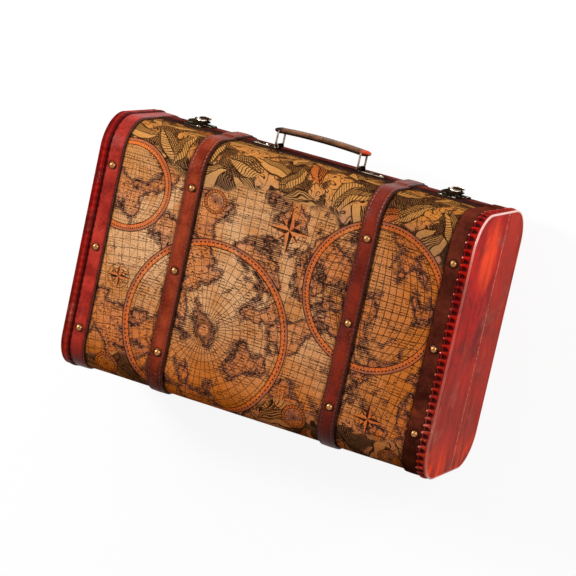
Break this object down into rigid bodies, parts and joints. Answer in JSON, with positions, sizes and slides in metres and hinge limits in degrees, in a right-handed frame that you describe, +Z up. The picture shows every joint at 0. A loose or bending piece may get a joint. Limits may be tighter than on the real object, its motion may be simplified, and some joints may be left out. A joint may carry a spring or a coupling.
{
  "type": "wooden suitcase box",
  "caption": "Wooden suitcase box in two hinged halves, leather covered, with stitched straps, nailed bands, pleated ends, draw latches and a swinging handle.",
  "frame": {"origin": "centre of the closed case's bounding box, handle and hinges included, in the plane it rests on", "axes": "+X along the case's length, -Y towards the handle and latches, +Z up from the shallow base to the printed lid"},
  "size_m": [0.45, 0.325, 0.153],
  "materials": {
    "printed_leather": "embossed ochre leather printed with brown chart lines",
    "strap_leather": "red-brown leather, satin, stitched along both edges",
    "band_leather": "smooth dark red leather, satin",
    "rim_leather": "dark maroon leather, satin",
    "end_leather": "mottled crimson leather, half gloss, gathered at its edge",
    "grip_leather": "dark brown leather, polished by use",
    "case_wood": "plain board, unpainted",
    "lining_cloth": "plain woven cloth",
    "antique_brass": "antique brass, dark in its hollows"
  },
  "bodies": {
    "base": {"base_shell": "case_wood", "base_end_board_left": "case_wood", "base_end_board_right": "case_wood", "base_printed_cover": "printed_leather", "base_lining": "lining_cloth", "base_rim_band_front": "rim_leather", "base_rim_band_back": "rim_leather", "base_end_cover_left": "end_leather", "base_end_cover_right": "end_leather", "base_band_left": "band_leather", "base_band_right": "band_leather", "base_strap_left": "strap_leather", "base_strap_right": "strap_leather", "base_hinge_leaf_left": "antique_brass", "base_hinge_leaf_right": "antique_brass", "hinge_pin_left": "antique_brass", "hinge_pin_right": "antique_brass", "latch_plate_left": "antique_brass", "latch_plate_right": "antique_brass", "latch_pin_left": "antique_brass", "latch_pin_right": "antique_brass"},
    "lid": {"lid_shell": "case_wood", "lid_end_board_left": "case_wood", "lid_end_board_right": "case_wood", "lid_printed_cover": "printed_leather", "lid_lining": "lining_cloth", "lid_rim_band_front": "rim_leather", "lid_rim_band_back": "rim_leather", "lid_end_cover_left": "end_leather", "lid_end_cover_right": "end_leather", "lid_band_left": "band_leather", "lid_band_right": "band_leather", "lid_strap_left": "strap_leather", "lid_strap_right": "strap_leather", "lid_hinge_leaf_left": "antique_brass", "lid_hinge_leaf_right": "antique_brass", "handle_bracket_left": "antique_brass", "handle_bracket_right": "antique_brass", "latch_keeper_left": "antique_brass", "latch_keeper_right": "antique_brass", "strap_nail_left_1": "antique_brass", "strap_nail_left_2": "antique_brass", "strap_nail_left_3": "antique_brass", "strap_nail_right_1": "antique_brass", "strap_nail_right_2": "antique_brass", "strap_nail_right_3": "antique_brass", "band_nail_left_1": "antique_brass", "band_nail_left_2": "antique_brass", "band_nail_left_3": "antique_brass", "band_nail_right_1": "antique_brass", "band_nail_right_2": "antique_brass", "band_nail_right_3": "antique_brass"},
    "ring_left": {"handle_ring_left": "antique_brass"},
    "ring_right": {"handle_ring_right": "antique_brass"},
    "grip": {"handle_grip": "grip_leather"},
    "lever_left": {"latch_lever_left": "antique_brass"},
    "lever_right": {"latch_lever_right": "antique_brass"},
    "bail_left": {"latch_bail_left": "antique_brass"},
    "bail_right": {"latch_bail_right": "antique_brass"}
  },
  "joints": [
    {"name": "lid_hinge", "type": "hinge", "parent": "base", "child": "lid", "pos_m": [0, 0.15985, 0.0603], "axis": [-1, 0, 0], "range_deg": [0, 100]},
    {"name": "ring_left_pivot", "type": "hinge", "parent": "lid", "child": "ring_left", "pos_m": [-0.05, -0.13805, 0.0693], "axis": [0, 0, 1], "range_deg": [-65, 65]},
    {"name": "ring_right_pivot", "type": "hinge", "parent": "lid", "child": "ring_right", "pos_m": [0.05, -0.13805, 0.0693], "axis": [0, 0, 1], "range_deg": [-65, 65]},
    {"name": "grip_pivot", "type": "hinge", "parent": "ring_left", "child": "grip", "pos_m": [-0.05, -0.15555, 0.0693], "axis": [0, 0, 1], "range_deg": [-65, 65]},
    {"name": "lever_left_pivot", "type": "hinge", "parent": "base", "child": "lever_left", "pos_m": [-0.15563, -0.13975, 0.0533], "axis": [-1, 0, 0], "range_deg": [0, 85]},
    {"name": "lever_right_pivot", "type": "hinge", "parent": "base", "child": "lever_right", "pos_m": [0.15563, -0.13975, 0.0533], "axis": [-1, 0, 0], "range_deg": [0, 85]},
    {"name": "bail_left_pivot", "type": "hinge", "parent": "lever_left", "child": "bail_left", "pos_m": [-0.15563, -0.13935, 0.0478], "axis": [-1, 0, 0], "range_deg": [-64, 0]},
    {"name": "bail_right_pivot", "type": "hinge", "parent": "lever_right", "child": "bail_right", "pos_m": [0.15563, -0.13935, 0.0478], "axis": [-1, 0, 0], "range_deg": [-64, 0]}
  ],
  "couplings": [
    {"joint": "ring_right_pivot", "follows": "ring_left_pivot", "ratio": 1},
    {"joint": "grip_pivot", "follows": "ring_left_pivot", "ratio": -1},
    {"joint": "bail_left_pivot", "follows": "lever_left_pivot", "ratio": -0.75},
    {"joint": "bail_right_pivot", "follows": "lever_right_pivot", "ratio": -0.75}
  ]
}
